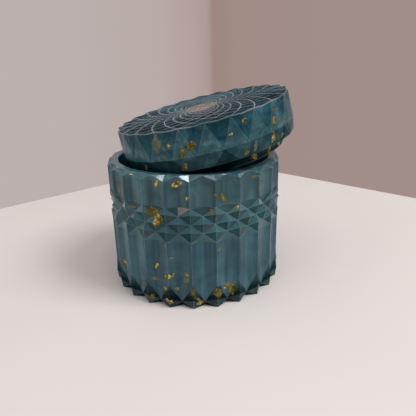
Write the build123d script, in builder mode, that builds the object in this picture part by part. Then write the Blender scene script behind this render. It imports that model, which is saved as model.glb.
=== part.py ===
from build123d import *
from math import atan2, cos, degrees, exp, pi, radians, sin, sqrt
import os

# Vanity trinket box: a cast-resin jar with a loose cast-resin lid, both cut all round into
# facets, with flecks of gold leaf set in the resin. Millimetres, +Z up. The origin is the
# centre of the jar's flat base. The front is -Y. The lid stands ajar, tipped on the rim.

os.makedirs("parts", exist_ok=True)

# ---- driving dimensions ----------------------------------------------------------------
flutes = 24                 # flutes round the jar, and facets round the lid
step_angle = 360 / flutes

# jar
ridge_radius = 40.0         # outer edge of every ridge between two flutes
flute_radius = 38.2         # floor of every flute, on its centre line
flats = 6                   # flat strips that make up one hollow flute
jar_height = 59.2
mouth_radius = 35.0
floor_thickness = 6.0
floor_fillet = 3.0
mouth_round = 0.5

# foot: a ring of thorns, one under every ridge
thorn_height = 10.5
thorn_crease_height = 4.2
thorn_crease_radius = 40.5
notch_height = 2.75         # lowest point of the V that ends each flute
foot_notch_radius = 36.5    # inner corners of the star that rests on the table

# band of diamonds between the lower and the upper flutes
lower_flute_top = 30.8
upper_flute_bottom = 46.0
diamond_rows = 3
diamond_row = (upper_flute_bottom - lower_flute_top) / (diamond_rows + 1)
net_radius = 38.6           # corners that the diamonds share
diamond_radius = 40.2       # peak of every diamond
peak_rise = 1.1             # how far every peak lies above its diamond's middle

# rim
upper_flute_top = 57.0
rim_ridge_radius = 38.0     # rim outline above a ridge
rim_corner_radius = 39.0    # rim outline above a flute

# lid, from its top face down
lid_radius = 39.4           # outer corners of the top face
lid_notch_radius = 38.7     # inner corners of the top face
lid_notch_depth = 0.5
girdle_radius = 40.0
girdle_depth = 11.5
lid_bottom_radius = 39.2
lid_thickness = 17.3
plug_radius = 33.8
plug_height = 4.9
plug_chamfer = 0.5

# rosette of pits on the lid's top face: two families of 24 equal spirals cross in a net
pit_rows = 12
pit_ratio = exp(-radians(step_angle) / 2)   # each ring of the net is this much smaller
pit_slope = 0.25                            # depth of a pit over half its length

# pose of the lid: one edge has dropped into the mouth, the opposite edge rests on the rim
lid_centre = (4.2, 0.8, 80.6)              # centre of the lid's top face
lid_tilt = 12.3
lid_tilt_axis = (0.18, -0.98, 0)
lid_turn = 3.1
lid_pose = Location(lid_centre, lid_tilt_axis, lid_tilt) * Location((0, 0, 0), (0, 0, lid_turn))
lid_plane = Plane(lid_pose)

# gold leaf
leaf_cover = 0.05           # how far a fleck stands proud of the resin
leaf_thickness = 0.35
leaf_corners = 7
leaf_raggedness = 0.22      # share by which a fleck's outline wanders in and out
leaf_wander = (2.4, 1.7)    # turns of the outline's wander per corner, radians


# ---- shared geometry -------------------------------------------------------------------
def spot(step, radius, height):
    """Point at a number of flute widths from the front, turning towards +X."""
    angle = radians(step * step_angle)
    return Vector(radius * sin(angle), -radius * cos(angle), height)


def faceted_solid(facets):
    """Closed solid from a list of flat polygons that share their edges."""
    return Solid(Shell([Face(Wire.make_polygon(corners, close=True)) for corners in facets]))


# A flute is a circular hollow through two ridges and the flute's floor.
half_chord = ridge_radius * sin(radians(step_angle / 2))
chord_radius = ridge_radius * cos(radians(step_angle / 2))
sagitta = chord_radius - flute_radius
hollow_radius = (half_chord**2 + sagitta**2) / (2 * sagitta)
hollow_centre = flute_radius + hollow_radius
hollow_sweep = degrees(atan2(half_chord, hollow_centre - chord_radius))


def flute_point(step, share, height):
    """Point on a flute's hollow; share runs from 0 at its left ridge to 1 at its right."""
    sweep = radians((2 * share - 1) * hollow_sweep)
    across = hollow_radius * sin(sweep)
    outward = hollow_centre - hollow_radius * cos(sweep)
    middle = radians((step + 0.5) * step_angle)
    return Vector(
        outward * sin(middle) + across * cos(middle),
        -outward * cos(middle) + across * sin(middle),
        height,
    )


def fan(apex, points):
    """Triangles from one apex to each stretch of a line of points."""
    return [[apex, start, end] for start, end in zip(points, points[1:])]


# ---- jar -------------------------------------------------------------------------------
def foot_facets(step):
    """The thorn's halves either side of one flute, and the V that ends the flute."""
    notch = spot(step + 0.5, flute_radius, notch_height)
    ground = spot(step + 0.5, foot_notch_radius, 0)
    facets = []
    for ridge, side in ((step, 0), (step + 1, 1)):
        top = spot(ridge, ridge_radius, thorn_height)
        crease = spot(ridge, thorn_crease_radius, thorn_crease_height)
        tip = spot(ridge, ridge_radius, 0)
        facets += [[top, crease, notch], [crease, tip, notch], [tip, ground, notch]]
        ledge = [flute_end(step, abs(side - i / flats)) for i in range(1, flats // 2 + 1)]
        facets += fan(top, ledge)
    return facets


def flute_end(step, share):
    """Point on the V-shaped lower end of a flute."""
    drop = (thorn_height - notch_height) * (1 - abs(2 * share - 1))
    return flute_point(step, share, thorn_height - drop)


def flute_strips(step, bottom_points, top_points):
    """Flat strips between the lower and the upper end of one flute."""
    strips = []
    for i in range(flats):
        strips.append([bottom_points[i], bottom_points[i + 1], top_points[i + 1], top_points[i]])
    return strips


def flute_arc(step, height):
    return [flute_point(step, i / flats, height) for i in range(flats + 1)]


def diamond(step, height):
    """Four facets that rise to a peak from a diamond's corners."""
    peak = spot(step, diamond_radius, height + peak_rise)
    corners = []
    for side, rise in ((0, -1), (0.5, 0), (0, 1), (-0.5, 0)):
        level = height + rise * diamond_row
        at_flutes = min(level - lower_flute_top, upper_flute_bottom - level) < diamond_row / 2
        corners.append(spot(step + side, ridge_radius if at_flutes else net_radius, level))
    return fan(peak, corners + corners[:1])


def band_facets(step):
    """Diamonds of one flute's width, and the caps that close the flutes above and below."""
    facets = []
    for row in range(1, diamond_rows + 1):
        shift = 0 if row % 2 else 0.5
        facets += diamond(step + shift, lower_flute_top + row * diamond_row)
    lower_node = spot(step + 0.5, net_radius, lower_flute_top + diamond_row)
    upper_node = spot(step + 0.5, net_radius, upper_flute_bottom - diamond_row)
    facets += fan(lower_node, flute_arc(step, lower_flute_top))
    facets += fan(upper_node, flute_arc(step, upper_flute_bottom))
    return facets


def rim_facets(step):
    """The V-shaped pair of facets above a ridge, and the cap above the next flute."""
    ridge = spot(step, ridge_radius, upper_flute_top)
    crest = spot(step, rim_ridge_radius, jar_height)
    left_corner = spot(step - 0.5, rim_corner_radius, jar_height)
    right_corner = spot(step + 0.5, rim_corner_radius, jar_height)
    cap = fan(right_corner, flute_arc(step, upper_flute_top))
    return fan(ridge, [left_corner, crest, right_corner]) + cap


jar_skin = []
foot_outline = []
rim_outline = []
for step in range(flutes):
    lower_end = [flute_end(step, i / flats) for i in range(flats + 1)]
    jar_skin += foot_facets(step)
    jar_skin += flute_strips(step, lower_end, flute_arc(step, lower_flute_top))
    jar_skin += band_facets(step)
    upper_end = flute_arc(step, upper_flute_top)
    jar_skin += flute_strips(step, flute_arc(step, upper_flute_bottom), upper_end)
    jar_skin += rim_facets(step)
    foot_outline += [spot(step, ridge_radius, 0), spot(step + 0.5, foot_notch_radius, 0)]
    rim_outline += [
        spot(step, rim_ridge_radius, jar_height),
        spot(step + 0.5, rim_corner_radius, jar_height),
    ]
jar_skin += [foot_outline, rim_outline]

with BuildPart() as jar:
    add(faceted_solid(jar_skin))
    with BuildSketch(Plane.XY.offset(floor_thickness)):
        Circle(mouth_radius)
    extrude(amount=jar_height - floor_thickness, mode=Mode.SUBTRACT)
    floor_edge = jar.edges().filter_by(GeomType.CIRCLE).group_by(Axis.Z)[0]
    fillet(floor_edge, radius=floor_fillet)
    mouth_edge = jar.edges().filter_by(GeomType.CIRCLE).group_by(Axis.Z)[-1]
    fillet(mouth_edge, radius=mouth_round)


# ---- lid, in its own frame: the top face is at height 0 ----------------------------------
def net_node(step, row):
    """Corner of the net on the top face; odd rows lie half a step round."""
    return spot(step + (0.5 if row % 2 else 0), lid_radius * pit_ratio**row, 0)


def pit(step, row):
    """Four facets that fall to the bottom of one pit."""
    ring = lid_radius * pit_ratio**row
    half_length = (ring / pit_ratio - ring * pit_ratio) / 2
    middle = step + (0 if row % 2 else 0.5)
    bottom = spot(middle, ring, -pit_slope * half_length)
    outer = spot(middle, ring / pit_ratio, 0)
    inner = spot(middle, ring * pit_ratio, 0)
    left = spot(middle - 0.5, ring, 0)
    right = spot(middle + 0.5, ring, 0)
    return fan(bottom, [outer, right, inner, left, outer])


def lid_sector(step):
    """One step's facets of the lid, from the top face to the underside."""
    corner = net_node(step, 0)
    next_corner = net_node(step + 1, 0)
    notch = spot(step + 0.5, lid_notch_radius, -lid_notch_depth)
    left_girdle = spot(step - 0.5, girdle_radius, -girdle_depth)
    girdle = spot(step + 0.5, girdle_radius, -girdle_depth)
    bottom = spot(step, lid_bottom_radius, -lid_thickness)
    next_bottom = spot(step + 1, lid_bottom_radius, -lid_thickness)
    facets = []
    for row in range(1, pit_rows):
        facets += pit(step, row)
    facets += fan(net_node(step, 1), [corner, notch, next_corner])
    innermost = [net_node(step, pit_rows), net_node(step + 1, pit_rows)]
    facets.append(innermost + [net_node(step, pit_rows - 1)])
    facets += fan(girdle, [corner, notch, next_corner])
    facets += [[corner, left_girdle, girdle]]
    facets += [[left_girdle, bottom, girdle], [girdle, bottom, next_bottom]]
    return facets


lid_skin = []
for step in range(flutes):
    lid_skin += lid_sector(step)
lid_skin += [[net_node(step, pit_rows) for step in range(flutes)]]
lid_skin += [[spot(step, lid_bottom_radius, -lid_thickness) for step in range(flutes)]]

with BuildPart() as lid:
    add(faceted_solid(lid_skin).moved(lid_pose))
    with BuildSketch(lid_plane.offset(-lid_thickness)):
        Circle(plug_radius)
    extrude(amount=-plug_height)
    lid_axis = Axis(lid_plane.origin, lid_plane.z_dir)
    plug_edges = lid.edges().filter_by(GeomType.CIRCLE).sort_by(lid_axis)
    chamfer(plug_edges[0], length=plug_chamfer)


# ---- gold leaf -------------------------------------------------------------------------
def leaf_outline(length, width):
    """Ragged fleck of leaf about the sketch's origin."""
    corners = []
    for i in range(leaf_corners):
        angle = 2 * pi * i / leaf_corners
        wander = cos(leaf_wander[0] * i + length) * sin(leaf_wander[1] * i + width)
        ragged = 1 - leaf_raggedness * wander
        corners.append((length / 2 * ragged * cos(angle), width / 2 * ragged * sin(angle)))
    return corners


def hollow_radius_at(share):
    """Distance of a flute's hollow from the jar's axis."""
    hollow = flute_point(0, share, 0)
    return sqrt(hollow.X**2 + hollow.Y**2)


def jar_surface(step, height):
    """Radius of the jar's skin, close enough to set a fleck in it."""
    share = step % 1
    from_ridge = min(share, 1 - share)
    if height <= thorn_height:
        return ridge_radius - 2 * from_ridge * (ridge_radius - flute_radius)
    if lower_flute_top <= height <= upper_flute_bottom:
        return (net_radius + diamond_radius) / 2
    if height <= upper_flute_top:
        return hollow_radius_at(share)
    rise = (height - upper_flute_top) / (jar_height - upper_flute_top)
    outline = rim_ridge_radius + 2 * from_ridge * (rim_corner_radius - rim_ridge_radius)
    return hollow_radius_at(share) * (1 - rise) + outline * rise


def lid_surface(step, height):
    """Radius of the lid's side, close enough to set a fleck in it."""
    share = step % 1
    from_corner = min(share, 1 - share)
    flat = cos(radians(step_angle / 2))
    if height < -lid_thickness:
        return plug_radius
    if height < -girdle_depth:
        fall = (-height - girdle_depth) / (lid_thickness - girdle_depth)
        return (girdle_radius + (lid_bottom_radius - girdle_radius) * fall) * flat
    fall = -height / girdle_depth
    corner = lid_radius + (girdle_radius * flat - lid_radius) * fall
    notch = lid_notch_radius + (girdle_radius - lid_notch_radius) * fall
    half_width = 1 - fall
    if 2 * from_corner <= fall:
        return corner
    return corner + (notch - corner) * (2 * from_corner - fall) / half_width


def leaf_plane(step, radius, height, slant, pose):
    """Plane of a fleck: it faces away from the axis, with its length turned by slant."""
    outward = spot(step, 1, 0)
    level = spot(step + flutes / 4, 1, 0)
    flat = Plane(origin=spot(step, radius, height), x_dir=level, z_dir=outward)
    return Plane(pose * flat.location * Location((0, 0, 0), (0, 0, slant)))


def set_leaf(places, surface, pose):
    """Flecks of leaf let into a surface; a place is (step, height, length, width, slant)."""
    for step, height, length, width, slant in places:
        plane = leaf_plane(step, surface(step, height) + leaf_cover, height, slant, pose)
        with BuildSketch(plane) as outline:
            Polygon(*leaf_outline(length, width), align=None)
        extrude(outline.sketch, amount=-leaf_thickness)


upright = Location((0, 0, 0))

upper_band_leaf = [
    (-2.6, 57.7, 2.0, 1.1, 10),
    (-1.35, 55.6, 2.8, 1.8, 60),
    (-0.5, 55.5, 3.4, 2.0, 20),
    (-0.1, 50.4, 1.7, 1.2, 80),
    (1.05, 51.0, 3.4, 1.2, -15),
    (1.36, 48.9, 4.2, 2.0, -62),
    (2.85, 55.5, 3.4, 1.6, 10),
    (-3.7, 50.0, 5.4, 2.2, 80),
    (4.4, 57.7, 1.6, 1.1, 20),
    (3.4, 52.0, 1.6, 1.0, 40),
    (6.5, 51.0, 3.0, 1.8, 15),
    (8.4, 54.5, 2.0, 1.4, 70),
    (10.6, 49.8, 3.6, 1.5, -20),
    (13.5, 53.0, 2.4, 1.8, 35),
    (16.4, 50.2, 3.2, 1.3, 85),
    (18.5, 54.4, 1.8, 1.3, 0),
]

diamond_band_leaf = [
    (-1.58, 43.7, 4.6, 3.4, 25),
    (-1.35, 40.2, 4.8, 3.4, 60),
    (0.81, 44.0, 3.0, 1.5, -60),
    (1.87, 44.6, 1.8, 1.1, 70),
    (2.58, 37.3, 2.6, 1.8, 80),
    (-2.7, 43.8, 2.8, 1.8, 0),
    (6.0, 40.0, 2.4, 1.6, 25),
    (9.0, 36.4, 3.4, 2.0, -15),
    (12.5, 42.0, 2.0, 1.6, 60),
    (15.5, 38.5, 2.6, 1.6, 5),
    (18.6, 43.0, 3.0, 1.8, -40),
]

lower_band_leaf = [
    (1.12, 27.1, 1.7, 1.2, 20),
    (-1.06, 29.4, 2.4, 1.1, 65),
    (-3.75, 13.4, 3.0, 1.9, -50),
    (-1.58, 18.8, 2.4, 1.2, 80),
    (-1.02, 14.9, 5.4, 1.8, 5),
    (-0.24, 16.2, 3.3, 1.2, 86),
    (-0.85, 23.6, 1.2, 0.5, 5),
    (-1.7, 12.4, 3.0, 2.0, 0),
    (-0.28, 12.7, 3.2, 2.4, 75),
    (4.4, 22.0, 2.4, 1.2, 85),
    (7.5, 20.0, 2.8, 1.6, 30),
    (9.6, 26.0, 1.8, 1.2, 75),
    (11.4, 14.6, 3.2, 1.8, -10),
    (14.5, 22.0, 2.4, 1.4, 60),
    (16.6, 16.8, 2.0, 1.6, 15),
    (18.5, 26.4, 3.0, 1.4, 80),
]

foot_leaf = [
    (-4.3, 6.4, 2.0, 1.4, 40),
    (-2.35, 8.4, 3.6, 2.4, 35),
    (-1.24, 8.6, 2.4, 1.3, 10),
    (-0.7, 9.0, 1.9, 1.4, 0),
    (0.0, 8.4, 4.0, 1.8, 80),
    (0.12, 5.4, 3.6, 1.3, -50),
    (0.28, 2.4, 3.6, 1.9, 20),
    (-1.84, 3.2, 3.2, 2.2, 70),
    (-1.06, 3.3, 3.0, 2.1, -20),
    (1.05, 7.0, 4.9, 4.0, 20),
    (1.45, 9.0, 2.8, 1.8, 45),
    (1.72, 7.0, 6.4, 2.2, 68),
    (4.5, 6.0, 3.0, 1.9, 60),
    (5.8, 6.6, 2.8, 1.8, 35),
    (7.2, 4.8, 2.0, 1.4, 80),
    (8.8, 7.6, 3.0, 1.8, 15),
    (10.2, 5.2, 2.4, 1.6, -30),
    (12.2, 6.8, 3.2, 2.0, 50),
    (13.8, 4.6, 2.2, 1.4, 0),
    (15.2, 7.4, 2.6, 1.8, 70),
    (16.8, 5.6, 3.0, 1.6, -20),
    (18.8, 6.8, 2.4, 1.8, 40),
]

lid_side_leaf = [
    (-2.0, -4.6, 6.6, 3.6, 78),
    (-1.53, -6.0, 1.7, 1.1, 85),
    (-0.68, -7.5, 5.0, 3.2, 15),
    (-1.08, -9.6, 3.2, 1.9, 60),
    (-1.84, -10.2, 1.5, 1.1, 60),
    (0.87, -6.8, 2.0, 0.9, -12),
    (1.5, -3.4, 1.9, 1.3, 30),
    (2.92, -8.0, 3.0, 2.5, 60),
    (3.55, -9.2, 2.3, 1.2, 80),
    (3.1, -4.0, 2.6, 1.8, 15),
    (6.0, -5.0, 3.0, 2.0, 40),
    (8.5, -7.4, 2.2, 1.6, 75),
    (11.0, -4.4, 3.4, 1.8, 10),
    (13.4, -8.0, 2.6, 2.0, -35),
    (16.2, -5.6, 2.0, 1.4, 60),
    (18.6, -7.0, 3.2, 1.8, 25),
]

lid_lower_leaf = [
    (-1.12, -15.4, 3.8, 2.6, 50),
    (-2.95, -14.4, 2.6, 1.6, 70),
    (2.7, -14.0, 3.8, 2.4, 75),
    (3.28, -15.0, 1.9, 1.3, 60),
    (1.74, -14.4, 3.4, 1.8, 70),
    (1.32, -15.9, 2.2, 1.2, 30),
    (7.0, -14.4, 3.0, 1.8, 20),
    (10.4, -15.2, 2.2, 1.6, 60),
    (14.0, -13.8, 2.8, 1.6, -25),
    (17.5, -15.0, 2.4, 1.8, 45),
]

plug_leaf = [
    (4.0, -20.2, 3.4, 2.6, 20),
    (2.94, -20.4, 2.8, 2.2, 50),
    (1.97, -20.3, 3.0, 2.2, 0),
    (8.0, -20.2, 2.6, 1.8, 30),
    (15.0, -20.0, 2.2, 1.6, 70),
]

# on the lid's top face: (radius, angle, length, width)
rosette_leaf = [
    (4.8, 46.0, 2.4, 1.4),
    (5.0, 130.0, 3.6, 2.2),
    (6.6, 310.0, 1.8, 1.1),
    (3.2, 235.0, 3.0, 1.8),
    (34.56, 277.5, 1.5, 0.9),
    (30.3, 15.0, 1.4, 0.9),
]

with BuildPart() as jar_leaf_upper_band:
    set_leaf(upper_band_leaf, jar_surface, upright)

with BuildPart() as jar_leaf_diamond_band:
    set_leaf(diamond_band_leaf, jar_surface, upright)

with BuildPart() as jar_leaf_lower_band:
    set_leaf(lower_band_leaf, jar_surface, upright)

with BuildPart() as jar_leaf_foot:
    set_leaf(foot_leaf, jar_surface, upright)

with BuildPart() as lid_leaf_side:
    set_leaf(lid_side_leaf, lid_surface, lid_pose)

with BuildPart() as lid_leaf_lower_side:
    set_leaf(lid_lower_leaf, lid_surface, lid_pose)

with BuildPart() as lid_leaf_plug:
    set_leaf(plug_leaf, lid_surface, lid_pose)

with BuildPart() as lid_leaf_rosette:
    for radius, angle, length, width in rosette_leaf:
        centre = (radius * cos(radians(angle)), radius * sin(radians(angle)), leaf_cover)
        with BuildSketch(Plane(lid_pose * Location(centre, (0, 0, angle)))):
            Polygon(*leaf_outline(length, width), align=None)
        extrude(amount=-leaf_thickness)

jar_leaf = {
    "jar_leaf_upper_band": jar_leaf_upper_band,
    "jar_leaf_diamond_band": jar_leaf_diamond_band,
    "jar_leaf_lower_band": jar_leaf_lower_band,
    "jar_leaf_foot": jar_leaf_foot,
}
lid_leaf = {
    "lid_leaf_side": lid_leaf_side,
    "lid_leaf_lower_side": lid_leaf_lower_side,
    "lid_leaf_plug": lid_leaf_plug,
    "lid_leaf_rosette": lid_leaf_rosette,
}

# Every fleck sits in a pocket of its own size.
with jar:
    for leaf in jar_leaf.values():
        add(leaf.part, mode=Mode.SUBTRACT)
with lid:
    for leaf in lid_leaf.values():
        add(leaf.part, mode=Mode.SUBTRACT)

for name, piece in {"jar": jar, "lid": lid, **jar_leaf, **lid_leaf}.items():
    piece.part.label = name
    export_step(piece.part, f"parts/{name}.step")
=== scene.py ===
import math
import random

import bmesh
import bpy
from mathutils import Matrix, Vector, noise
from mathutils.bvhtree import BVHTree


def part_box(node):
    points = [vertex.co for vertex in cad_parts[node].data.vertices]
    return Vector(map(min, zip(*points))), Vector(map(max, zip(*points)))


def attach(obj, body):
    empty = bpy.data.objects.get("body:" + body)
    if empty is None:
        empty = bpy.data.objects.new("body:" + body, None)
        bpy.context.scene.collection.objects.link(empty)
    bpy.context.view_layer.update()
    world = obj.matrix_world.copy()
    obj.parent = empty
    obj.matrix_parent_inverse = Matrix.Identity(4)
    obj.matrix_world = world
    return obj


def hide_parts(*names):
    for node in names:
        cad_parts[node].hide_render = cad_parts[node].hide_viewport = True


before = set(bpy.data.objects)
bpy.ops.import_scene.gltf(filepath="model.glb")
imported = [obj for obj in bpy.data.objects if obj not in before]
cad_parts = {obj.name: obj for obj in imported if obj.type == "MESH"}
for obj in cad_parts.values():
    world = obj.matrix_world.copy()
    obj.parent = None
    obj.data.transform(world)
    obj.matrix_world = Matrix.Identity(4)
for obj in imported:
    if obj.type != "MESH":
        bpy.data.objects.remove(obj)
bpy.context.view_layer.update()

# A cast-resin trinket box: a fluted jar and its loose lid, both facet-cut, with flecks of
# gold leaf in the resin. The two castings are rebuilt here finer than the CAD nodes, with
# smooth flutes and softened edges, and the leaf as torn, crumpled foil that follows them.

MM = 0.001
FLUTES = 24
STEP = 2 * math.pi / FLUTES

# ---- dimensions of the jar, the CAD's unless a comment says otherwise -----------------------
JAR_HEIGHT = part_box("jar")[1].z
RIDGE_RADIUS = 40.0 * MM
FLUTE_RADIUS = 38.2 * MM
FLATS = 12                     # strips across one hollow flute, twice the CAD's
MOUTH_RADIUS = 35.0 * MM
MOUTH_ROUND = 0.5 * MM
FLOOR = 6.0 * MM
FLOOR_FILLET = 3.0 * MM
THORN_HEIGHT = 10.5 * MM
CREASE_HEIGHT = 4.2 * MM
CREASE_RADIUS = 40.5 * MM
NOTCH_HEIGHT = 2.75 * MM
FOOT_NOTCH_RADIUS = 36.5 * MM
LOWER_FLUTE_TOP = 30.8 * MM
UPPER_FLUTE_BOTTOM = 46.0 * MM
UPPER_FLUTE_TOP = 57.0 * MM
DIAMOND_ROWS = 3
DIAMOND_ROW = (UPPER_FLUTE_BOTTOM - LOWER_FLUTE_TOP) / (DIAMOND_ROWS + 1)
NET_RADIUS = 38.6 * MM
DIAMOND_RADIUS = 40.2 * MM
PEAK_RISE = 1.1 * MM
RIM_RIDGE_RADIUS = 37.7 * MM   # 0.3 mm inside the CAD's
RIM_CORNER_RADIUS = 39.0 * MM

# ---- dimensions of the lid, from its top face down ---------------------------------------
LID_RADIUS = 39.4 * MM
LID_NOTCH_RADIUS = 38.7 * MM
LID_NOTCH_DEPTH = 0.5 * MM
GIRDLE_RADIUS = 40.0 * MM
GIRDLE_DEPTH = 11.5 * MM
LID_BOTTOM_RADIUS = 39.2 * MM
LID_THICKNESS = 17.3 * MM
PLUG_RADIUS = 33.8 * MM
PLUG_HEIGHT = 4.9 * MM
PLUG_CHAMFER = 0.5 * MM
PIT_ROWS = 12
PIT_RATIO = math.exp(-STEP / 2)
PIT_SLOPE = 0.25

# ---- facets with painted light, shade and reflections, by step round the casting ----------
# Painted reflection: a pinkish-white sheen on the lower left facet of these diamonds and the right half of
# these caps.
SHEEN_DIAMONDS = ((21, 3), (21, 1), (9, 2), (14, 3))    # (step, row)
SHEEN_CAPS = (23, 7, 15)
FLOOR_REFLECTION_EVERY = 4                # one in so many of the diamonds' lower right facets has a pinkish painted reflection of the lit floor
GLINT_STEPS = (23, 0)          # where a lamp shines on the rim
# Under the lid's girdle the facets point down and up by turns, all in painted shade, the deep ones darker
# than the low ones. Those that point down are low ones except at some steps, and those that point up are
# deep ones except at others.
DEEP_SHADE_STEPS = (9, 10, 19, 20, 21, 22)
LIGHTER_SHADE_STEPS = (1, 2, 4, 6, 7, 13, 16, 23)

# ---- finish of the castings --------------------------------------------------------------
ARC = 8                        # straight pieces of a fillet, and of a round per side of its outline
MOUTH_POINTS = 2 * FLUTES * ARC
PLUG_POINTS = FLUTES * ARC
EDGE_ROUND = 0.17 * MM
NET_ROUND = 0.26 * MM          # of the rosette's net lines
WELD = 0.002 * MM              # corners closer than this are one
LEVEL = 0.01 * MM              # heights closer than this are the same
NET_DEPTH = 0.9 * MM           # rounded edges no deeper than this belong to the net
ROUNDED_ANGLE = math.radians(12)    # edges flatter than this stay as they are
OFF_LEVEL = 5                  # how much a point's height counts against it as a top corner


# ---- mesh helpers ------------------------------------------------------------------------
def spot(step, radius, height):
    """Point at a number of flute widths from the front, turning towards +X."""
    return Vector((radius * math.sin(step * STEP), -radius * math.cos(step * STEP), height))


def circle(points, radius, height):
    """Evenly spaced points round the axis, from the front."""
    return [spot(i * FLUTES / points, radius, height) for i in range(points)]


def fan(apex, points):
    """Triangles from one apex to each stretch of a line of points."""
    return [[apex, start, end] for start, end in zip(points, points[1:])]


def bands(rings):
    """Quads between each closed ring of points and the next."""
    facets = []
    for lower, upper in zip(rings, rings[1:]):
        for i in range(len(lower)):
            j = (i + 1) % len(lower)
            facets.append([lower[i], lower[j], upper[j], upper[i]])
    return facets


def soften(bm, edges, width, look):
    """Rounds edges; the new faces take the look's index."""
    bmesh.ops.bevel(
        bm, geom=edges, offset=width, segments=2, profile=0.5, affect="EDGES", clamp_overlap=True,
        material=look,
    )


def casting(name, looks, tones, edge_looks, choose, pose, net=False):
    """Closed mesh from the polygons of each tone, with its edges a little rounded.

    Rounded edges take one of edge_looks, which choose picks by their lowest and highest point. With
    a net, the edges near the plane of height 0 are rounded wider, and hollow edges stay sharp.
    """
    bm = bmesh.new()
    for index, tone in enumerate(looks):
        for corners in tones[tone]:
            bm.faces.new([bm.verts.new(corner) for corner in corners]).material_index = index
    bmesh.ops.remove_doubles(bm, verts=bm.verts, dist=WELD)
    bmesh.ops.recalc_face_normals(bm, faces=bm.faces)
    if net:
        raised = [edge for edge in bm.edges if edge.calc_face_angle_signed(0) > ROUNDED_ANGLE]
        top_edges = [edge for edge in raised if all(vert.co.z > -NET_DEPTH for vert in edge.verts)]
        soften(bm, top_edges, NET_ROUND, len(looks))
    sharp = []
    for edge in bm.edges:
        angle = edge.calc_face_angle_signed(0)
        if angle > ROUNDED_ANGLE or (not net and angle < -ROUNDED_ANGLE):
            sharp.append(edge)
    soften(bm, sharp, EDGE_ROUND, len(looks))
    for face in bm.faces:
        if face.material_index == len(looks):
            heights = [vert.co.z for vert in face.verts]
            face.material_index += choose(min(heights), max(heights))
    bm.transform(pose)
    for face in bm.faces:
        face.smooth = True
    mesh = bpy.data.meshes.new(name)
    bm.to_mesh(mesh)
    bm.free()
    for look in [*looks.values(), *edge_looks]:
        mesh.materials.append(look)
    piece = bpy.data.objects.new(name, mesh)
    bpy.context.scene.collection.objects.link(piece)
    weighted = piece.modifiers.new("flat facets", "WEIGHTED_NORMAL")
    weighted.weight = 100
    return piece


# ---- jar ---------------------------------------------------------------------------------
# A flute is a circular hollow through two ridges and the flute's floor.
HALF_CHORD = RIDGE_RADIUS * math.sin(STEP / 2)
CHORD_RADIUS = RIDGE_RADIUS * math.cos(STEP / 2)
SAGITTA = CHORD_RADIUS - FLUTE_RADIUS
HOLLOW_RADIUS = (HALF_CHORD**2 + SAGITTA**2) / (2 * SAGITTA)
HOLLOW_CENTRE = FLUTE_RADIUS + HOLLOW_RADIUS
HOLLOW_SWEEP = math.atan2(HALF_CHORD, HOLLOW_CENTRE - CHORD_RADIUS)


def flute_point(step, share, height):
    """Point on a flute's hollow; share runs from 0 at its left ridge to 1 at its right."""
    sweep = (2 * share - 1) * HOLLOW_SWEEP
    across = HOLLOW_RADIUS * math.sin(sweep)
    outward = HOLLOW_CENTRE - HOLLOW_RADIUS * math.cos(sweep)
    middle = (step + 0.5) * STEP
    x = outward * math.sin(middle) + across * math.cos(middle)
    y = -outward * math.cos(middle) + across * math.sin(middle)
    return Vector((x, y, height))


def flute_arc(step, height):
    """Points across one flute at a height."""
    return [flute_point(step, i / FLATS, height) for i in range(FLATS + 1)]


def flute_end(step, share):
    """Point on the V-shaped lower end of a flute."""
    drop = (THORN_HEIGHT - NOTCH_HEIGHT) * (1 - abs(2 * share - 1))
    return flute_point(step, share, THORN_HEIGHT - drop)


def foot_facets(step):
    """The thorn's halves either side of one flute, and the V that ends the flute, by tone."""
    notch = spot(step + 0.5, FLUTE_RADIUS, NOTCH_HEIGHT)
    ground = spot(step + 0.5, FOOT_NOTCH_RADIUS, 0)
    thorns = []
    toes = []
    ledges = []
    for ridge, side in ((step, 0), (step + 1, 1)):
        top = spot(ridge, RIDGE_RADIUS, THORN_HEIGHT)
        crease = spot(ridge, CREASE_RADIUS, CREASE_HEIGHT)
        tip = spot(ridge, RIDGE_RADIUS, 0)
        thorns += [[top, crease, notch], [tip, ground, notch]]
        toes.append([crease, tip, notch])
        ledges += fan(top, [flute_end(step, abs(side - i / FLATS)) for i in range(1, FLATS // 2 + 1)])
    # The thorns take the foot's painted shade, the toes a lighter one.
    return [("foot", thorns), ("toes", toes), ("plain", ledges)]


def diamond(step, height):
    """Four facets that rise to a peak from a diamond's corners: the lower two, then the upper two."""
    peak = spot(step, DIAMOND_RADIUS, height + PEAK_RISE)
    corners = []
    for side, rise in ((0, -1), (0.5, 0), (0, 1), (-0.5, 0)):
        level = height + rise * DIAMOND_ROW
        at_flutes = min(level - LOWER_FLUTE_TOP, UPPER_FLUTE_BOTTOM - level) < DIAMOND_ROW / 2
        corners.append(spot(step + side, RIDGE_RADIUS if at_flutes else NET_RADIUS, level))
    left_low, right_low = [corners[3], corners[0]], [corners[0], corners[1]]
    left_high, right_high = [corners[2], corners[3]], [corners[1], corners[2]]
    return [[peak, *pair] for pair in (left_low, right_low, left_high, right_high)]


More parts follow.
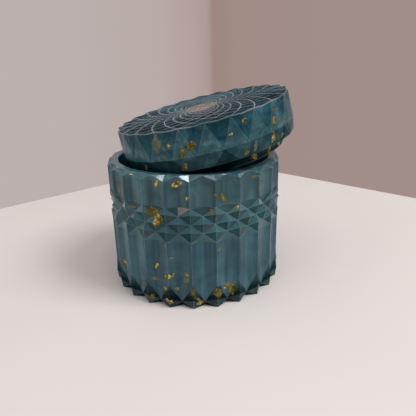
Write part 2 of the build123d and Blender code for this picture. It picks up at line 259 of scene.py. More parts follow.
def band_facets(step):
    """The diamonds of one flute's width, and the caps that end the flutes above and below, by tone."""
    groups = []
    # Each diamond's lower left facet takes painted shade or a painted sheen, its lower right one painted
    # half shade or a painted reflection of the floor, its upper ones painted light.
    for row in range(1, DIAMOND_ROWS + 1):
        facets = diamond(step + (0 if row % 2 else 0.5), LOWER_FLUTE_TOP + row * DIAMOND_ROW)
        reflects_floor = (3 * step + 2 * row) % FLOOR_REFLECTION_EVERY == 0
        groups += [
            ("pale" if (step, row) in SHEEN_DIAMONDS else "dark", facets[:1]),
            ("floor_reflection" if reflects_floor else "middling", facets[1:2]),
            ("light", facets[2:]),
        ]
    lower_node = spot(step + 0.5, NET_RADIUS, LOWER_FLUTE_TOP + DIAMOND_ROW)
    upper_node = spot(step + 0.5, NET_RADIUS, UPPER_FLUTE_BOTTOM - DIAMOND_ROW)
    caps = fan(upper_node, flute_arc(step, UPPER_FLUTE_BOTTOM))
    # The caps under the diamonds take painted light, those above them painted half shade, with a painted
    # sheen on the right half at some steps.
    return groups + [
        ("light", fan(lower_node, flute_arc(step, LOWER_FLUTE_TOP))),
        ("middling", caps[:FLATS // 2]),
        ("pale" if step in SHEEN_CAPS else "middling", caps[FLATS // 2:]),
    ]


def flute_strips(lower, upper):
    """Upright strips between the lower and the upper end of one flute."""
    return [[lower[i], lower[i + 1], upper[i + 1], upper[i]] for i in range(FLATS)]


def rim_facets(step):
    """The V-shaped pair of facets above a ridge, and the cap above the next flute, by tone."""
    ridge = spot(step, RIDGE_RADIUS, UPPER_FLUTE_TOP)
    crest = spot(step, RIM_RIDGE_RADIUS, JAR_HEIGHT)
    left_corner = spot(step - 0.5, RIM_CORNER_RADIUS, JAR_HEIGHT)
    right_corner = spot(step + 0.5, RIM_CORNER_RADIUS, JAR_HEIGHT)
    # Away from the GLINT_STEPS, the V facets take the rim's duller copy, painted shade.
    return [
        ("plain" if step in GLINT_STEPS else "rim", fan(ridge, [left_corner, crest, right_corner])),
        ("plain", fan(right_corner, flute_arc(step, UPPER_FLUTE_TOP))),
    ]


def cavity_rings():
    """Rings of points from the rounded mouth down to the filleted floor."""
    rings = []
    for i in range(ARC + 1):
        turn = math.pi / 2 * i / ARC
        radius = MOUTH_RADIUS + MOUTH_ROUND * (1 - math.sin(turn))
        rings.append(circle(MOUTH_POINTS, radius, JAR_HEIGHT - MOUTH_ROUND * (1 - math.cos(turn))))
    for i in range(ARC + 1):
        turn = math.pi / 2 * i / ARC
        radius = MOUTH_RADIUS - FLOOR_FILLET * (1 - math.cos(turn))
        rings.append(circle(MOUTH_POINTS, radius, FLOOR + FLOOR_FILLET * (1 - math.sin(turn))))
    return rings


def jar_tones():
    """The jar's polygons by the tone of their look."""
    tones = {tone: [] for tone in JAR_LOOKS}
    outline = []
    ground = []
    for step in range(FLUTES):
        lower_end = [flute_end(step, i / FLATS) for i in range(FLATS + 1)]
        flutes = flute_strips(lower_end, flute_arc(step, LOWER_FLUTE_TOP))
        flutes += flute_strips(flute_arc(step, UPPER_FLUTE_BOTTOM), flute_arc(step, UPPER_FLUTE_TOP))
        for tone, facets in foot_facets(step) + band_facets(step) + [("plain", flutes)] + rim_facets(step):
            tones[tone] += facets
        ground += [spot(step, RIDGE_RADIUS, 0), spot(step + 0.5, FOOT_NOTCH_RADIUS, 0)]
        outline += [
            spot(step, RIM_RIDGE_RADIUS, JAR_HEIGHT),
            spot(step + 0.5, RIM_CORNER_RADIUS, JAR_HEIGHT),
        ]
    tones["foot"].append(ground)
    rings = cavity_rings()
    # Inside, a paler copy of the resin: painted light for light let in through the walls and the lid.
    tones["cavity"] = bands(rings) + rings[-1:]
    # Top of the rim: each side of the outline faces a stretch of the mouth.
    mouth = rings[0] + rings[0][:1]
    for i in range(2 * FLUTES):
        inner = mouth[i * ARC:(i + 1) * ARC + 1]
        tones["plain"].append([outline[i], outline[(i + 1) % len(outline)], *reversed(inner)])
    return tones


# ---- lid ---------------------------------------------------------------------------------
def net_node(step, row):
    """Corner of the net on the top face; odd rows lie half a step round."""
    return spot(step + (0.5 if row % 2 else 0), LID_RADIUS * PIT_RATIO**row, 0)


def pit(step, row):
    """Four facets that fall to the bottom of one pit."""
    ring = LID_RADIUS * PIT_RATIO**row
    half_length = LID_RADIUS * (PIT_RATIO ** (row - 1) - PIT_RATIO ** (row + 1)) / 2
    middle = step + (0 if row % 2 else 0.5)
    bottom = spot(middle, ring, -PIT_SLOPE * half_length)
    outer = spot(middle, ring / PIT_RATIO, 0)
    inner = spot(middle, ring * PIT_RATIO, 0)
    return fan(bottom, [outer, spot(middle + 0.5, ring, 0), inner, spot(middle - 0.5, ring, 0), outer])


def lid_sector(step):
    """One step of the lid from the top face to the underside, by tone."""
    corner = net_node(step, 0)
    next_corner = net_node(step + 1, 0)
    notch = spot(step + 0.5, LID_NOTCH_RADIUS, -LID_NOTCH_DEPTH)
    left_girdle = spot(step - 0.5, GIRDLE_RADIUS, -GIRDLE_DEPTH)
    girdle = spot(step + 0.5, GIRDLE_RADIUS, -GIRDLE_DEPTH)
    bottom = spot(step, LID_BOTTOM_RADIUS, -LID_THICKNESS)
    next_bottom = spot(step + 1, LID_BOTTOM_RADIUS, -LID_THICKNESS)
    pits = [[net_node(step, PIT_ROWS), net_node(step + 1, PIT_ROWS), net_node(step, PIT_ROWS - 1)]]
    pits += fan(net_node(step, 1), [corner, notch, next_corner])
    for row in range(1, PIT_ROWS):
        pits += pit(step, row)
    return [
        # Facets from each top corner to the girdle take painted light; those under the girdle painted
        # shade.
        ("plain", fan(girdle, [corner, notch, next_corner])),
        ("light", [[corner, left_girdle, girdle]]),
        ("deep" if step in DEEP_SHADE_STEPS else "low", [[left_girdle, bottom, girdle]]),
        ("low" if step in LIGHTER_SHADE_STEPS else "deep", [[girdle, bottom, next_bottom]]),
        ("pits", pits),
    ]


def lid_tones():
    """The lid's polygons by the tone of their look."""
    tones = {tone: [] for tone in LID_LOOKS}
    for step in range(FLUTES):
        for tone, facets in lid_sector(step):
            tones[tone] += facets
    tones["centre"].append([net_node(step, PIT_ROWS) for step in range(FLUTES)])
    end = LID_THICKNESS + PLUG_HEIGHT
    rings = [
        circle(PLUG_POINTS, PLUG_RADIUS, -LID_THICKNESS),
        circle(PLUG_POINTS, PLUG_RADIUS, PLUG_CHAMFER - end),
        circle(PLUG_POINTS, PLUG_RADIUS - PLUG_CHAMFER, -end),
    ]
    # The plug's sides and the underside take painted shadow, the plug's end painted shade.
    tones["under"] += bands(rings)
    tones["low"].append(rings[-1])
    # Underside, round the plug.
    root = rings[0] + rings[0][:1]
    for step in range(FLUTES):
        edge = [spot(corner, LID_BOTTOM_RADIUS, -LID_THICKNESS) for corner in (step, step + 1)]
        tones["under"].append([*edge, *reversed(root[step * ARC:(step + 1) * ARC + 1])])
    return tones


def lid_pose():
    """Where the CAD lid lies: its frame has the top face's centre at the origin and +Z up."""
    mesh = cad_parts["lid"].data
    groups = {}
    for face in mesh.polygons:
        distance = round(face.center.dot(face.normal) / MM, 1)
        key = (*(round(value, 2) for value in face.normal), distance)
        groups.setdefault(key, []).append(face)
    plug_end = max(groups.values(), key=lambda faces: sum(face.area for face in faces))
    area = sum(face.area for face in plug_end)
    centre = sum((face.center * face.area for face in plug_end), Vector()) / area
    up = -sum((face.normal * face.area for face in plug_end), Vector()).normalized()
    origin = centre + up * (LID_THICKNESS + PLUG_HEIGHT)
    level = Vector((0, 1, 0)).cross(up).normalized()
    tilted = Matrix((level, up.cross(level), up)).transposed().to_4x4()
    tilted.translation = origin
    # A corner of the top face fixes the turn about the axis: far out, and level with the origin.
    local = [tilted.inverted() @ vertex.co for vertex in mesh.vertices]
    corner = max(local, key=lambda point: point.xy.length - OFF_LEVEL * abs(point.z))
    turn = math.atan2(corner.y, corner.x) % STEP
    return tilted @ Matrix.Rotation(turn, 4, "Z")


# ---- materials ---------------------------------------------------------------------------
MIX_A, MIX_B, MIX_RESULT = 6, 7, 2    # colour sockets of a mix node
WANDER = (0.55, 0.90, 1.0)            # share of a resin's reach that red, green and blue light have


def new_material(name):
    """An empty material with its shader and its output."""
    material = bpy.data.materials.new(name)
    material.use_nodes = True
    nodes = material.node_tree.nodes
    nodes.clear()
    output = nodes.new("ShaderNodeOutputMaterial")
    shader = nodes.new("ShaderNodeBsdfPrincipled")
    material.node_tree.links.new(shader.outputs["BSDF"], output.inputs["Surface"])
    return material, shader, output


def noise_field(material, scale, detail, roughness=0.5, distortion=0.0):
    """Noise over the piece's own coordinates; scale is in features per metre."""
    tree = material.node_tree
    place = tree.nodes.new("ShaderNodeTexCoord")
    field = tree.nodes.new("ShaderNodeTexNoise")
    field.inputs["Scale"].default_value = scale
    field.inputs["Detail"].default_value = detail
    field.inputs["Roughness"].default_value = roughness
    field.inputs["Distortion"].default_value = distortion
    tree.links.new(place.outputs["Object"], field.inputs["Vector"])
    return field.outputs["Fac"]


def ramp(owner, source, stops):
    """Colours along a factor of a material or a world; stops are (position, colour)."""
    node = owner.node_tree.nodes.new("ShaderNodeValToRGB")
    elements = node.color_ramp.elements
    while len(elements) < len(stops):
        elements.new(0.5)
    for element, (position, colour) in zip(elements, stops):
        element.position = position
        element.color = (*colour, 1)
    owner.node_tree.links.new(source, node.inputs["Fac"])
    return node.outputs["Color"]


def spread(material, source, low, high, width=0.2):
    """The source, from a width below 0.5 to a width above it, stretched to low..high."""
    node = material.node_tree.nodes.new("ShaderNodeMapRange")
    node.inputs["From Min"].default_value = 0.5 - width
    node.inputs["From Max"].default_value = 0.5 + width
    node.inputs["To Min"].default_value = low
    node.inputs["To Max"].default_value = high
    material.node_tree.links.new(source, node.inputs["Value"])
    return node.outputs["Result"]


def bump(material, source, height, under=None):
    """Normal of a relief, on top of another one if there is one under it."""
    node = material.node_tree.nodes.new("ShaderNodeBump")
    node.inputs["Distance"].default_value = height
    material.node_tree.links.new(source, node.inputs["Height"])
    if under is not None:
        material.node_tree.links.new(under, node.inputs["Normal"])
    return node.outputs["Normal"]


def tinted(material, colour, tint, amount):
    """The colour multiplied by a tint, as far as the amount says."""
    mix = material.node_tree.nodes.new("ShaderNodeMix")
    mix.data_type = "RGBA"
    mix.blend_type = "MULTIPLY"
    material.node_tree.links.new(amount, mix.inputs["Factor"])
    material.node_tree.links.new(colour, mix.inputs[MIX_A])
    mix.inputs[MIX_B].default_value = (*tint, 1)
    return mix.outputs[MIX_RESULT]


def streaks(material, scale):
    """Fine upright streaks, as a noise stretched up the piece."""
    tree = material.node_tree
    place = tree.nodes.new("ShaderNodeTexCoord")
    squash = tree.nodes.new("ShaderNodeMapping")
    squash.inputs["Scale"].default_value = (1, 1, 0.05)
    field = tree.nodes.new("ShaderNodeTexNoise")
    field.inputs["Scale"].default_value = scale
    field.inputs["Detail"].default_value = 2
    tree.links.new(place.outputs["Object"], squash.inputs["Vector"])
    tree.links.new(squash.outputs["Vector"], field.inputs["Vector"])
    return field.outputs["Fac"]


def gradient(material, axis, low, high):
    """Runs from 0 to 1 between two places along an axis of the piece's own frame."""
    tree = material.node_tree
    place = tree.nodes.new("ShaderNodeTexCoord")
    parts = tree.nodes.new("ShaderNodeSeparateXYZ")
    span = tree.nodes.new("ShaderNodeMapRange")
    span.inputs["From Min"].default_value = low
    span.inputs["From Max"].default_value = high
    tree.links.new(place.outputs["Object"], parts.inputs["Vector"])
    tree.links.new(parts.outputs[axis], span.inputs["Value"])
    return span.outputs["Result"]


def resin(name, thin, thick, reach, gloss=0.8, clear=0.03, streak=0, wisps=False, drift=None):
    """Cloudy cast resin under a glossy mould skin; reach is how far light wanders in it.

    thin and thick are its colours where it is least and most cloudy, streak is the streaks' scale,
    wisps are paler smoke, and drift is (axis, low, high, tint) of a tint that sets in along an axis.
    """
    material, shader, output = new_material(name)
    tree = material.node_tree
    cloud = noise_field(material, 60, 5, 0.6, 0.8)
    colour = ramp(material, cloud, [(0.38, thick), (0.62, thin)])
    if streak:
        lines = spread(material, streaks(material, streak), 0, 1, 0.13)
        colour = tinted(material, colour, (0.50, 0.60, 0.64), lines)
    if wisps:
        smoke = noise_field(material, 150, 4, 0.65, 1.5)
        colour = tinted(material, colour, (2.6, 1.75, 1.6), spread(material, smoke, -0.6, 1, 0.16))
    if drift is not None:
        axis, low, high, tint = drift
        colour = tinted(material, colour, tint, gradient(material, axis, low, high))
    tree.links.new(colour, shader.inputs["Base Color"])
    shader.inputs["IOR"].default_value = 1.5
    shader.inputs["Specular IOR Level"].default_value = 0.2 * gloss
    shader.inputs["Transmission Weight"].default_value = clear
    shader.inputs["Subsurface Weight"].default_value = 1.0
    shader.inputs["Subsurface Radius"].default_value = WANDER
    shader.inputs["Subsurface Scale"].default_value = reach
    shader.inputs["Coat Weight"].default_value = gloss
    shader.inputs["Coat IOR"].default_value = 1.4
    shader.inputs["Coat Roughness"].default_value = 0.03
    skin = noise_field(material, 700, 4)
    tree.links.new(spread(material, skin, 0.12, 0.24), shader.inputs["Roughness"])
    waves = bump(material, noise_field(material, 120, 1), 0.03 * MM)
    fine = bump(material, noise_field(material, 1500, 3), 0.003 * MM, waves)
    tree.links.new(fine, shader.inputs["Normal"])
    tree.links.new(waves, shader.inputs["Coat Normal"])
    depth = tree.nodes.new("ShaderNodeVolumeAbsorption")
    depth.inputs["Color"].default_value = (0.25, 0.72, 0.78, 1)
    depth.inputs["Density"].default_value = 120
    tree.links.new(depth.outputs["Volume"], output.inputs["Volume"])
    return material


def gold_foil(name, dark, middle, bright, metallic):
    """Crumpled gold leaf; the less metallic, the deeper it seems to lie in the resin."""
    material, shader, _ = new_material(name)
    tree = material.node_tree
    tone = noise_field(material, 560, 3, 0.5, 1.0)
    stops = [(0.34, dark), (0.50, middle), (0.66, bright)]
    tree.links.new(ramp(material, tone, stops), shader.inputs["Base Color"])
    shader.inputs["Metallic"].default_value = metallic
    shader.inputs["Coat Weight"].default_value = 0.3
    shader.inputs["Coat Roughness"].default_value = 0.08
    tree.links.new(spread(material, tone, 0.5, 0.22), shader.inputs["Roughness"])
    crease = noise_field(material, 1800, 2, 0.5, 0.8)
    tree.links.new(bump(material, crease, 0.04 * MM), shader.inputs["Normal"])
    return material


JAR_LOOKS = {
    "plain": resin(
        "jar_resin_look", (0.070, 0.184, 0.231), (0.031, 0.111, 0.146), 1.0 * MM, gloss=0.48,
        streak=340, drift=("Z", 0.03, 0.05, (1.25, 1.08, 0.98)),
    ),
    # Painted light: a lighter copy of the resin for the diamonds' upper halves and the caps that end the
    # lower flutes, which face up.
    "light": resin(
        "jar_resin_painted_light_facets", (0.058, 0.165, 0.195), (0.034, 0.120, 0.148), 1.0 * MM, gloss=0.6,
    ),
    # Painted shade: a darker copy of the resin for the diamonds' lower left facets, which face down.
    "dark": resin(
        "jar_resin_painted_shade_facets", (0.022, 0.086, 0.100), (0.010, 0.052, 0.062), 0.8 * MM, gloss=0.2,
        clear=0,
    ),
    # Painted light: a much paler copy of the resin inside the jar, for light that comes in through the
    # walls and the lid; its long reach also lets some light through.
    "cavity": resin(
        "jar_resin_inside_painted_light", (0.210, 0.350, 0.380), (0.130, 0.250, 0.280), 8.0 * MM, gloss=0.3,
    ),
    # Painted shade: the thorns and the underside of the foot nearly black, lightening from 5 mm up to 9 mm
    # above the floor.
    "foot": resin(
        "jar_resin_foot_painted_shade", (0.004, 0.020, 0.024), (0.001, 0.006, 0.008), 0.6 * MM, gloss=0.08,
        clear=0, drift=("Z", 0.0050, 0.0090, (10.0, 5.5, 5.0)),
    ),
    # Painted reflection of the lit floor: pinkish lower right facets of some diamonds.
    "floor_reflection": resin(
        "jar_resin_floor_reflection_facets", (0.062, 0.098, 0.110), (0.018, 0.060, 0.070), 0.8 * MM, gloss=0.4,
    ),
    # Painted reflection: the pinkish-white sheen of a few facets in the band.
    "pale": resin(
        "jar_resin_painted_sheen_facets", (0.38, 0.32, 0.31), (0.20, 0.195, 0.195), 0.8 * MM,
    ),
    # Painted half shade: a darker copy for the other lower right facets of the diamonds and the caps that
    # end the upper flutes.
    "middling": resin(
        "jar_resin_painted_half_shade_facets", (0.034, 0.105, 0.122), (0.016, 0.070, 0.086), 0.8 * MM, gloss=0.4,
    ),
    # Painted shade, lighter than the thorns', on the facets from the crease down to each tip.
    "toes": resin(
        "jar_resin_toes_painted_shade", (0.034, 0.080, 0.092), (0.008, 0.032, 0.040), 0.8 * MM, gloss=0.3,
    ),
    # Painted shade: a duller, slightly darker copy for the rim's V facets at all but the GLINT_STEPS,
    # which keeps the lamps' reflections off them.
    "rim": resin(
        "jar_resin_rim_facets_painted_shade", (0.066, 0.172, 0.208), (0.032, 0.108, 0.138), 1.0 * MM, gloss=0.22,
    ),
}
JAR_EDGES = [
    # Painted highlight on the rounded edges, and painted shade on the thorns' edges.
    resin("jar_resin_edges_painted_highlight", (0.20, 0.35, 0.38), (0.07, 0.18, 0.21), 1.0 * MM, gloss=1.0),
    resin("jar_resin_thorn_edges_painted_shade", (0.020, 0.070, 0.082), (0.006, 0.034, 0.040), 0.8 * MM, gloss=0.3),
]
LID_LOOKS = {
    "plain": resin(
        "lid_resin_look", (0.020, 0.100, 0.140), (0.005, 0.044, 0.064), 1.0 * MM, gloss=0.2,
        wisps=True,
    ),
    # Painted light: a lighter copy for the facets that run from each top corner down to the girdle.
    "light": resin(
        "lid_resin_painted_light_facets", (0.046, 0.132, 0.162), (0.016, 0.080, 0.104), 1.0 * MM, gloss=0.25,
        wisps=True,
    ),
    # Painted shade: a darker copy for facets under the girdle, and for the plug's end.
    "low": resin(
        "lid_resin_painted_shade_facets", (0.018, 0.072, 0.092), (0.006, 0.034, 0.045), 0.8 * MM, gloss=0.14,
        clear=0, wisps=True,
    ),
    # Painted shadow: the underside and the plug's sides nearly black, in the shade between lid and jar.
    "under": resin(
        "lid_resin_painted_shadow_underside", (0.003, 0.026, 0.032), (0.001, 0.010, 0.013), 0.8 * MM, gloss=0.06,
        clear=0,
    ),
    "centre": resin(
        "lid_rosette_centre", (0.200, 0.150, 0.080), (0.060, 0.070, 0.055), 1.0 * MM, gloss=0.4,
    ),
    # Painted shade in the rosette's pits, with a painted sheen that lightens them towards the back.
    "pits": resin(
        "lid_rosette_pits_painted_shade", (0.006, 0.034, 0.050), (0.001, 0.012, 0.020), 0.6 * MM, gloss=0.04,
        clear=0, drift=("Y", -0.010, 0.028, (5.0, 2.8, 2.5)),
    ),
    # Painted shade, darker than the low facets, under the girdle at some steps.
    "deep": resin(
        "lid_resin_painted_deep_shade_facets", (0.006, 0.036, 0.046), (0.002, 0.016, 0.021), 0.8 * MM, gloss=0.12,
        clear=0, wisps=True,
    ),
}
LID_EDGES = [
    # Painted highlights on the lid's rounded edges and on the rosette's net, whose pale tone turns teal
    # towards the back.
    resin("lid_resin_edges_painted_highlight", (0.090, 0.210, 0.255), (0.030, 0.110, 0.145), 1.0 * MM, gloss=0.6),
    resin("lid_rosette_net_painted_highlight", (0.215, 0.225, 0.240), (0.070, 0.125, 0.142), 0.8 * MM, gloss=0.3,
          drift=("Y", -0.010, 0.028, (0.62, 0.92, 0.96))),
]
# Leaf at the skin, leaf a little under it, and leaf deep enough to fade into the resin.
GOLD_LOOKS = [
    gold_foil("gold_leaf_look", (0.050, 0.038, 0.003), (0.26, 0.190, 0.012), (0.82, 0.66, 0.20), 1.0),
    gold_foil(
        "gold_leaf_under_resin", (0.022, 0.026, 0.004), (0.115, 0.092, 0.004), (0.30, 0.24, 0.03), 0.8,
    ),
    gold_foil(
        "gold_leaf_faint", (0.030, 0.070, 0.070), (0.085, 0.105, 0.050), (0.19, 0.19, 0.08), 0.3,
    ),
]
AT_SKIN, UNDER_SKIN, FAINT = range(len(GOLD_LOOKS))


# ---- the two castings --------------------------------------------------------------------
def jar_edge(low, high):
    """Index of a rounded edge's look: the thorns' edges take painted shade, the toes' the painted
    highlight of the rest.
    """
    return int(CREASE_HEIGHT + LEVEL < high < THORN_HEIGHT + EDGE_ROUND)


def lid_edge(low, high):
    """Index of a rounded edge's look: the rosette's net has a painted highlight of its own."""
    return int(low > -NET_DEPTH)


JAR_POSE = Matrix.Identity(4)
LID_POSE = lid_pose()
jar = casting("resin_jar", JAR_LOOKS, jar_tones(), JAR_EDGES, jar_edge, JAR_POSE)
lid = casting("resin_lid", LID_LOOKS, lid_tones(), LID_EDGES, lid_edge, LID_POSE, net=True)
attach(jar, "jar")
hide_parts("jar")
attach(lid, "lid")
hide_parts("lid")


# ---- gold leaf ---------------------------------------------------------------------------
# Flecks at the front that lie under the skin, as (step, height in mm) in their casting's frame.
UNDER_JAR = [
    (-1.58, 43.7), (1.05, 51.0), (1.36, 48.9), (0.81, 44.0), (2.58, 37.3), (1.05, 7.0), (1.72, 7.0),
    (0.0, 8.4), (0.12, 5.4), (-1.84, 3.2),
]
FAINT_JAR = [
    (-3.7, 50.0), (-2.7, 43.8), (2.85, 55.5), (1.12, 27.1), (-1.06, 29.4), (-1.7, 12.4), (-0.28, 12.7),
    (-2.35, 8.4), (-0.7, 9.0),
]
UNDER_LID = [(-0.68, -7.5), (-1.08, -9.6), (-1.12, -15.4)]
FAINT_LID = [(-2.0, -4.6), (-1.84, -10.2), (3.1, -4.0), (1.74, -14.4), (-2.95, -14.4)]
SAME_STEP = 0.15               # how near a fleck lies to the place listed for it
SAME_HEIGHT = 1.0 * MM
FRONT_STEPS = 5.0              # flecks further round than this take a look by chance
AT_SKIN_CHANCE = 0.45
UNDER_SKIN_CHANCE = 0.30
SEED_SPAN = 50                 # of the places in the noise where a leaf's shape is taken
FOIL_RINGS = 6
FOIL_SECTORS = 40
FOIL_THICKNESS = 0.03 * MM
FOIL_LIFT = 0.03 * MM          # of the foil above the skin, to half its thickness
CRUMPLE = 0.04 * MM
CRUMPLE_SIZE = 0.6 * MM
TEARS = ((0.55, 1.3), (0.40, 3.5), (0.35, 9.0))    # (depth, pace) of the torn outline's noise
START_OUTSIDE = 3 * MM         # where the search for the skin starts
SEARCH_DEPTH = 8 * MM
FACES_AXIS = 0.9               # cosine; a fleck turned closer to the axis than this lies level


def joined_to(first):
    """Every corner that edges join to the first one, in a fixed order."""
    island = set()
    queue = [first]
    while queue:
        vert = queue.pop()
        if vert not in island:
            island.add(vert)
            queue += [edge.other_vert(vert) for edge in vert.link_edges]
    return sorted(island, key=lambda vert: vert.index)


def lie(face):
    """How a face lies, the same for both sides of a fleck."""
    return tuple(round(abs(value), 2) for value in face.normal)


def flecks_of(node):
    """Every fleck of a CAD node as (centre, length vector, width vector, outward vector)."""
    bm = bmesh.new()
    bm.from_mesh(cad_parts[node].data)
    bmesh.ops.remove_doubles(bm, verts=bm.verts, dist=WELD / 2)
    left = set(bm.verts)
    flecks = []
    while left:
        island = joined_to(min(left, key=lambda vert: vert.index))
        left -= set(island)
        faces = sorted({face for vert in island for face in vert.link_faces}, key=lambda face: face.index)
        centre = sum((vert.co for vert in island), Vector()) / len(island)
        normals = {}
        for face in faces:
            normals[lie(face)] = normals.get(lie(face), 0) + face.calc_area()
        widest = max(normals, key=normals.get)
        outward = next(face.normal.copy() for face in faces if lie(face) == widest)
        spokes = sorted((vert.co - centre for vert in island), key=lambda spoke: spoke.length)
        along = spokes[-1] - outward * spokes[-1].dot(outward)
        across = outward.cross(along).normalized()
        half_width = max(abs(spoke.dot(across)) for spoke in spokes)
        flecks.append((centre, along, across * half_width, outward))
    bm.free()
    return flecks


def foil_look(place, under, faint, draw):
    """Index of a fleck's look, from its place in the casting's frame."""
    chance = draw.random()
    step = math.atan2(place.x, -place.y) / STEP
    if abs(step) > FRONT_STEPS:
        if chance < AT_SKIN_CHANCE:
            return AT_SKIN
        return UNDER_SKIN if chance < AT_SKIN_CHANCE + UNDER_SKIN_CHANCE else FAINT
    for look, places in ((UNDER_SKIN, under), (FAINT, faint)):
        for other_step, height in places:
            if abs(step - other_step) < SAME_STEP and abs(place.z - height * MM) < SAME_HEIGHT:
                return look
    return AT_SKIN


def foil_points(skin, fleck, seed):
    """Middle and rings of a torn, crumpled leaf that lies on the skin."""
    centre, along, across, outward = fleck
    points = []
    for ring in range(FOIL_RINGS + 1):
        for sector in range(FOIL_SECTORS if ring else 1):
            angle = 2 * math.pi * sector / FOIL_SECTORS
            around = Vector((math.cos(angle), math.sin(angle), 0))
            torn = 1 + sum(depth * noise.noise(around * pace + seed) for depth, pace in TEARS)
            reach = torn * ring / FOIL_RINGS
            flat = centre + along * around.x * reach + across * around.y * reach
            crumple = noise.noise(flat / CRUMPLE_SIZE + seed)
            hit = skin.ray_cast(flat + outward * START_OUTSIDE, -outward, SEARCH_DEPTH)[0]
            surface = hit if hit is not None else flat
            points.append(surface + outward * (FOIL_LIFT + CRUMPLE * crumple))
    return points


def foil_faces(base):
    """Faces between a leaf's middle, which has the index base, and its rings."""
    first = base + 1
    faces = []
    for sector in range(FOIL_SECTORS):
        follow = (sector + 1) % FOIL_SECTORS
        faces.append((base, first + sector, first + follow))
        for ring in range(FOIL_RINGS - 1):
            row = first + ring * FOIL_SECTORS
            below = row + FOIL_SECTORS
            faces.append((row + sector, below + sector, below + follow, row + follow))
    return faces


def foil_piece(body, zone, skin, pose, under, faint):
    """Foil at each fleck of one zone's CAD node, laid against the casting's skin."""
    name = "gold_leaf_%s_%s" % (body, zone)
    node = "%s_leaf_%s" % (body, zone)
    draw = random.Random(node)
    axis = pose.to_3x3() @ Vector((0, 0, 1))
    points = []
    faces = []
    looks = []
    for centre, along, across, outward in flecks_of(node):
        from_axis = centre - pose.translation
        away = from_axis - axis * from_axis.dot(axis)
        level = abs(outward.dot(axis)) > FACES_AXIS
        if outward.dot(axis if level else away) < 0:
            outward = -outward
        seed = Vector([draw.uniform(0, SEED_SPAN) for _ in range(3)])
        leaf_faces = foil_faces(len(points))
        points += foil_points(skin, (centre, along, across, outward), seed)
        faces += leaf_faces
        looks += [foil_look(pose.inverted() @ centre, under, faint, draw)] * len(leaf_faces)
    mesh = bpy.data.meshes.new(name)
    mesh.from_pydata(points, [], faces)
    for look in GOLD_LOOKS:
        mesh.materials.append(look)
    mesh.polygons.foreach_set("material_index", looks)
    mesh.shade_smooth()
    piece = bpy.data.objects.new(name, mesh)
    bpy.context.scene.collection.objects.link(piece)
    solid = piece.modifiers.new("thickness", "SOLIDIFY")
    solid.thickness = FOIL_THICKNESS
    solid.offset = 0
    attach(piece, body)
    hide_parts(node)


jar_skin = BVHTree.FromObject(jar, bpy.context.evaluated_depsgraph_get())
for zone in ("upper_band", "diamond_band", "lower_band", "foot"):
    foil_piece("jar", zone, jar_skin, JAR_POSE, UNDER_JAR, FAINT_JAR)
lid_skin = BVHTree.FromObject(lid, bpy.context.evaluated_depsgraph_get())
for zone in ("side", "lower_side", "plug", "rosette"):
    foil_piece("lid", zone, lid_skin, LID_POSE, UNDER_LID, FAINT_LID)


# ---- floor, light and camera ---------------------------------------------------------------
# The floor ends at the two walls; their corner is straight behind the box.
FLOOR_FRONT = -2.0
FLOOR_LEFT = (-1.83, -1.41, 0)
FLOOR_CORNER = (0.0057, 0.2291, 0)
FLOOR_RIGHT = (1.79, -1.31, 0)
# Colour of the walls by the X part of the direction from the box; the right wall is darker, painted shade,
# and darkest at the corner.
WALL_SPAN = 0.5
WALLS = [
    (-0.30, (0.497, 0.434, 0.418)), (-0.12, (0.482, 0.405, 0.389)), (-0.045, (0.446, 0.352, 0.333)),
    (-0.018, (0.419, 0.326, 0.306)), (-0.004, (0.340, 0.245, 0.218)), (0.05, (0.352, 0.258, 0.236)),
    (0.24, (0.360, 0.272, 0.248)),
]
# Square lamps, as (name, place, what it faces, side, power, colour). The small ones are each caught
# by one facet at the front of the rim.
RIM_FRONT = (0, -0.038, 0.058)
LAMPS = [
    ("window", (0.62, -0.25, 0.95), (0, 0, 0.04), 0.45, 7.8, (1.0, 0.98, 0.96)),
    ("ceiling", (-0.10, -0.25, 0.95), (0, 0, 0), 1.1, 2.4, (1.0, 0.97, 0.96)),
    ("glint_0", (-0.115, -0.157, 0.533), RIM_FRONT, 0.03, 0.07, (0.85, 0.95, 1.0)),
    ("glint_1", (0.080, -0.149, 0.540), RIM_FRONT, 0.03, 0.15, (0.85, 0.95, 1.0)),
]
CAMERA_PLACE = (0.01120, -0.20006, 0.10475)
CAMERA_YAW = math.radians(1.443)        # to the left
CAMERA_PITCH = math.radians(20.036)     # down
CAMERA_ROLL = math.radians(-1.436)
CAMERA_LENS = 37.42                     # on a 36 mm sensor


def floor():
    """Plain pale floor that runs into the corner of a room behind the box."""
    mesh = bpy.data.meshes.new("floor")
    front_left = (FLOOR_LEFT[0], FLOOR_FRONT, 0)
    front_right = (FLOOR_RIGHT[0], FLOOR_FRONT, 0)
    corners = [front_left, front_right, FLOOR_RIGHT, FLOOR_CORNER, FLOOR_LEFT]
    mesh.from_pydata(corners, [], [range(len(corners))])
    piece = bpy.data.objects.new("floor", mesh)
    bpy.context.scene.collection.objects.link(piece)
    material, shader, _ = new_material("pale_floor")
    shader.inputs["Roughness"].default_value = 0.55
    tone = noise_field(material, 6, 2)
    stops = [(0.3, (0.695, 0.685, 0.675)), (0.7, (0.735, 0.725, 0.715))]
    material.node_tree.links.new(ramp(material, tone, stops), shader.inputs["Base Color"])
    mesh.materials.append(material)


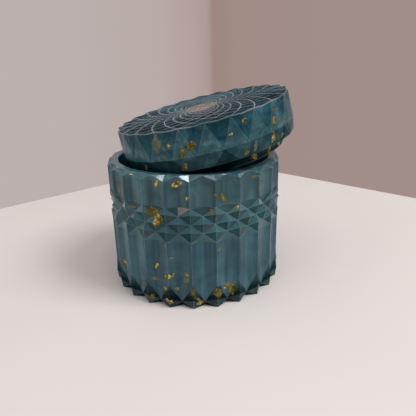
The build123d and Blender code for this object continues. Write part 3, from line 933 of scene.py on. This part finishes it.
def square_lamp(name, place, target, side, power, colour):
    """Square lamp that faces a target."""
    data = bpy.data.lights.new(name, "AREA")
    data.shape = "SQUARE"
    data.size = side
    data.energy = power
    data.color = colour
    lamp = bpy.data.objects.new(name, data)
    lamp.location = place
    lamp.rotation_mode = "QUATERNION"
    lamp.rotation_quaternion = (Vector(target) - Vector(place)).to_track_quat("-Z", "Y")
    bpy.context.scene.collection.objects.link(lamp)


def sky():
    """The two walls, which also light the box from all sides."""
    world = bpy.data.worlds.new("room")
    bpy.context.scene.world = world
    world.use_nodes = True
    tree = world.node_tree
    background = tree.nodes["Background"]
    background.inputs["Strength"].default_value = 1.0
    place = tree.nodes.new("ShaderNodeTexCoord")
    parts = tree.nodes.new("ShaderNodeSeparateXYZ")
    across = tree.nodes.new("ShaderNodeMapRange")
    across.inputs["From Min"].default_value = -WALL_SPAN
    across.inputs["From Max"].default_value = WALL_SPAN
    tree.links.new(place.outputs["Generated"], parts.inputs["Vector"])
    tree.links.new(parts.outputs["X"], across.inputs["Value"])
    stops = [(0.5 + direction / (2 * WALL_SPAN), colour) for direction, colour in WALLS]
    tree.links.new(ramp(world, across.outputs["Result"], stops), background.inputs["Color"])


def camera():
    """Camera in front of the box, looking a little down on it."""
    level = math.cos(CAMERA_PITCH)
    ahead = Vector((-math.sin(CAMERA_YAW) * level, math.cos(CAMERA_YAW) * level, -math.sin(CAMERA_PITCH)))
    right = ahead.cross(Vector((0, 0, 1))).normalized()
    above = right.cross(ahead)
    rolled_right = right * math.cos(CAMERA_ROLL) + above * math.sin(CAMERA_ROLL)
    rolled_above = above * math.cos(CAMERA_ROLL) - right * math.sin(CAMERA_ROLL)
    data = bpy.data.cameras.new("camera")
    data.lens = CAMERA_LENS
    data.sensor_width = 36
    data.clip_start = 0.01
    eye = bpy.data.objects.new("camera", data)
    matrix = Matrix((rolled_right, rolled_above, -ahead)).transposed().to_4x4()
    matrix.translation = CAMERA_PLACE
    eye.matrix_world = matrix
    bpy.context.scene.collection.objects.link(eye)
    bpy.context.scene.camera = eye


floor()
sky()
camera()
for lamp in LAMPS:
    square_lamp(*lamp)
bpy.context.scene.view_settings.view_transform = "Standard"
